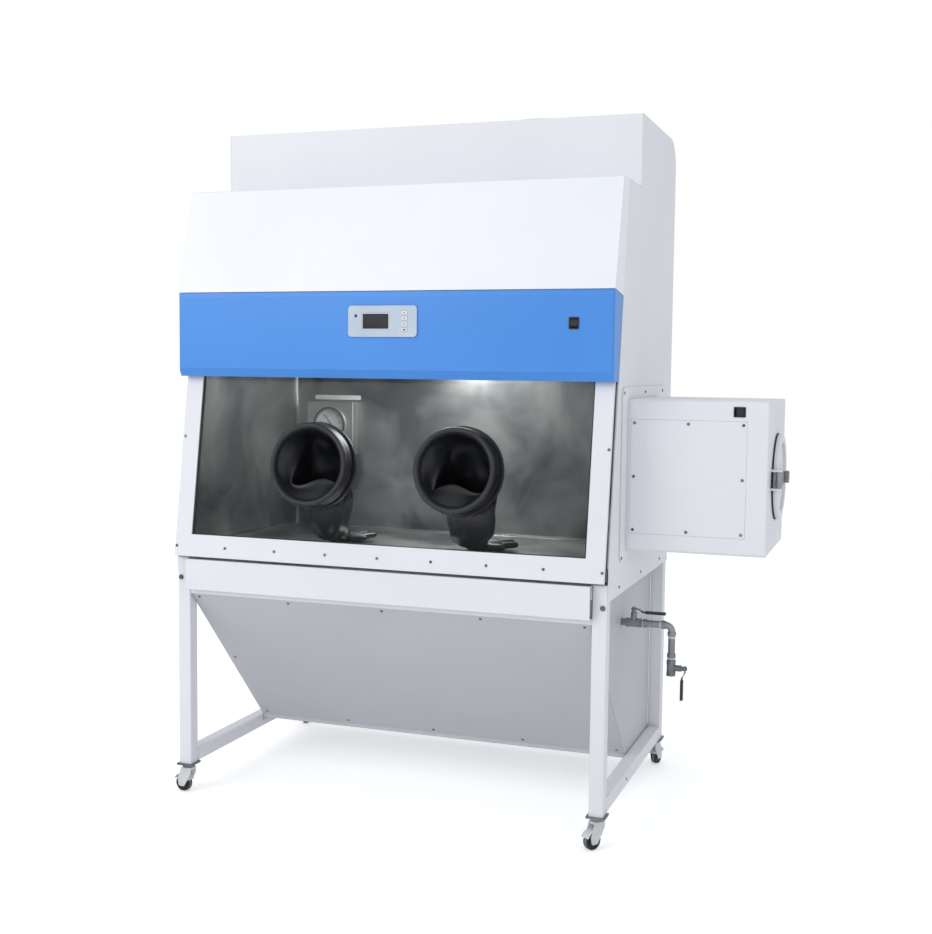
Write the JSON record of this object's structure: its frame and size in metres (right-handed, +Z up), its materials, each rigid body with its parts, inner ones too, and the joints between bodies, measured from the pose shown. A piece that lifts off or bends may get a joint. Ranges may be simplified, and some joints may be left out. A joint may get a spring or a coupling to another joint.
{
  "type": "class III biosafety cabinet",
  "caption": "Sealed glove cabinet on a caster stand, with a leaning window, glove ports, a blue control fascia, a white hood and a side pass box",
  "frame": {"origin": "middle of the bottom of the whole object's bounding box, on the floor", "axes": "+Z up, +X to the right as seen from the window side, +Y from the window to the back"},
  "size_m": [1.74, 0.8972, 2.017],
  "materials": {
    "white_enamel": "white powder-coated steel, fine orange peel",
    "grey_enamel": "pale grey powder-coated steel, satin",
    "blue_enamel": "blue powder-coated steel, satin",
    "stainless": "stainless sheet with a brushed finish",
    "clear_glass": "clear laminated glass",
    "black_rubber": "matt black moulded rubber",
    "black_plastic": "black moulded plastic",
    "grey_plastic": "pale blue-grey moulded plastic",
    "white_plastic": "white moulded plastic",
    "screw_steel": "zinc-plated steel, a little dark",
    "drain_metal": "cast and threaded stainless fittings",
    "filter_media": "filter frame with white pleated media",
    "wheel_tread": "black rubber tread on a plastic hub",
    "dial_glass": "clear dial glass"
  },
  "bodies": {
    "cabinet": {"back_panel": "white_enamel", "base_tray": "grey_enamel", "blue_fascia": "blue_enamel", "caster_plates": "screw_steel", "chamber_liner": "stainless", "display_bezel": "grey_plastic", "display_screen": "black_plastic", "drain_pipes": "drain_metal", "drain_valves": "drain_metal", "fan_housing": "grey_enamel", "fan_motor": "grey_enamel", "filters": "filter_media", "frame_rails": "white_enamel", "front_apron": "white_enamel", "gauge_box": "stainless", "gauge_glass": "dial_glass", "glove_cuffs": "black_rubber", "hood": "white_enamel", "kick_panel": "grey_enamel", "lamp": "white_plastic", "left_glove": "black_rubber", "left_side_panel": "white_enamel", "legs": "white_enamel", "pass_box_cover": "white_enamel", "pass_box_shell": "white_enamel", "port_rings": "black_plastic", "rear_top_cover": "white_enamel", "right_glove": "black_rubber", "right_side_panel": "white_enamel", "screws_and_bolts": "screw_steel", "side_sheets": "grey_enamel", "switch_frames": "black_plastic", "window_frame": "white_enamel", "window_gasket": "black_rubber", "window_glass": "clear_glass", "work_tray": "stainless"},
    "clamp_arm": {"clamp_arm": "stainless", "outer_door": "white_enamel", "outer_door_seal": "black_rubber"},
    "clamp_knob": {"clamp_knob": "stainless"},
    "inner_door": {"inner_door": "stainless"},
    "inner_door_handle": {"inner_door_handle": "stainless"},
    "upper_drain_lever": {"upper_drain_lever": "drain_metal"},
    "lower_drain_lever": {"lower_drain_lever": "drain_metal"},
    "power_rocker": {"power_rocker": "black_plastic"},
    "pass_box_rocker": {"pass_box_rocker": "black_plastic"},
    "up_key": {"up_key": "white_plastic"},
    "down_key": {"down_key": "white_plastic"},
    "set_key": {"set_key": "white_plastic"},
    "lamp_key": {"lamp_key": "white_plastic"},
    "fan_wheel": {"fan_wheel": "grey_enamel"},
    "gauge_needle": {"gauge_needle": "black_plastic"},
    "front_left_swivel": {"front_left_fork": "white_plastic"},
    "front_left_wheel": {"front_left_wheel": "wheel_tread"},
    "front_right_swivel": {"front_right_fork": "white_plastic"},
    "front_right_wheel": {"front_right_wheel": "wheel_tread"},
    "rear_left_swivel": {"rear_left_fork": "white_plastic"},
    "rear_left_wheel": {"rear_left_wheel": "wheel_tread"},
    "rear_right_swivel": {"rear_right_fork": "white_plastic"},
    "rear_right_wheel": {"rear_right_wheel": "wheel_tread"}
  },
  "joints": [
    {"name": "front_left_swivel", "type": "hinge", "parent": "cabinet", "child": "front_left_swivel", "pos_m": [-0.82295, -0.37638, 0.0754], "axis": [0, 0, 1], "continuous": true},
    {"name": "front_left_roll", "type": "hinge", "parent": "front_left_swivel", "child": "front_left_wheel", "pos_m": [-0.84073, -0.37356, 0.025], "axis": [-0.1564, -0.9877, 0], "continuous": true},
    {"name": "front_right_swivel", "type": "hinge", "parent": "cabinet", "child": "front_right_swivel", "pos_m": [0.43245, -0.37638, 0.0754], "axis": [0, 0, 1], "continuous": true},
    {"name": "front_right_roll", "type": "hinge", "parent": "front_right_swivel", "child": "front_right_wheel", "pos_m": [0.42291, -0.39164, 0.025], "axis": [0.848, -0.5299, 0], "continuous": true},
    {"name": "rear_left_swivel", "type": "hinge", "parent": "cabinet", "child": "rear_left_swivel", "pos_m": [-0.82295, 0.40132, 0.0754], "axis": [0, 0, 1], "continuous": true},
    {"name": "rear_left_roll", "type": "hinge", "parent": "rear_left_swivel", "child": "rear_left_wheel", "pos_m": [-0.83195, 0.41691, 0.025], "axis": [-0.866, -0.5, 0], "continuous": true},
    {"name": "rear_right_swivel", "type": "hinge", "parent": "cabinet", "child": "rear_right_swivel", "pos_m": [0.43245, 0.40132, 0.0754], "axis": [0, 0, 1], "continuous": true},
    {"name": "rear_right_roll", "type": "hinge", "parent": "rear_right_swivel", "child": "rear_right_wheel", "pos_m": [0.4365, 0.41886, 0.025], "axis": [-0.9744, 0.225, 0], "continuous": true},
    {"name": "clamp_arm_swing", "type": "hinge", "parent": "cabinet", "child": "clamp_arm", "pos_m": [0.85565, -0.13438, 0.986], "axis": [0, 0, -1], "range_deg": [0, 110]},
    {"name": "clamp_knob_turn", "type": "hinge", "parent": "clamp_arm", "child": "clamp_knob", "pos_m": [0.85995, -0.00438, 0.986], "axis": [1, 0, 0], "range_deg": [0, 360]},
    {"name": "inner_door_swing", "type": "hinge", "parent": "cabinet", "child": "inner_door", "pos_m": [0.38825, 0.21512, 1.014], "axis": [0, 0, -1], "range_deg": [0, 86]},
    {"name": "inner_door_handle_turn", "type": "hinge", "parent": "inner_door", "child": "inner_door_handle", "pos_m": [0.38345, -0.23238, 1.014], "axis": [1, 0, 0], "range_deg": [0, 90]},
    {"name": "upper_drain_lever_turn", "type": "hinge", "parent": "cabinet", "child": "upper_drain_lever", "pos_m": [0.44775, -0.03138, 0.548], "axis": [0, 0, -1], "range_deg": [0, 90]},
    {"name": "lower_drain_lever_turn", "type": "hinge", "parent": "cabinet", "child": "lower_drain_lever", "pos_m": [0.55875, -0.03138, 0.425], "axis": [1, 0, 0], "range_deg": [0, 90]},
    {"name": "power_rocker_tilt", "type": "hinge", "parent": "cabinet", "child": "power_rocker", "pos_m": [0.34625, -0.37578, 1.3975], "axis": [1, 0, 0], "range_deg": [0, 20]},
    {"name": "pass_box_rocker_tilt", "type": "hinge", "parent": "cabinet", "child": "pass_box_rocker", "pos_m": [0.75775, -0.20778, 1.169], "axis": [0, 0, -1], "range_deg": [0, 20]},
    {"name": "up_key_press", "type": "slide", "parent": "cabinet", "child": "up_key", "axis": [0, 1, 0], "range_m": [0, 0.001], "stiffness_N_per_m": 300},
    {"name": "down_key_press", "type": "slide", "parent": "cabinet", "child": "down_key", "axis": [0, 1, 0], "range_m": [0, 0.001], "stiffness_N_per_m": 300},
    {"name": "set_key_press", "type": "slide", "parent": "cabinet", "child": "set_key", "axis": [0, 1, 0], "range_m": [0, 0.001], "stiffness_N_per_m": 300},
    {"name": "lamp_key_press", "type": "slide", "parent": "cabinet", "child": "lamp_key", "axis": [0, 1, 0], "range_m": [0, 0.001], "stiffness_N_per_m": 300},
    {"name": "fan_spin", "type": "hinge", "parent": "cabinet", "child": "fan_wheel", "pos_m": [0.09475, 0.16362, 1.77], "axis": [0, 1, 0], "continuous": true},
    {"name": "gauge_needle_turn", "type": "hinge", "parent": "cabinet", "child": "gauge_needle", "pos_m": [-0.64775, 0.23132, 1.085], "axis": [0, 1, 0], "range_deg": [-85, 155]}
  ]
}
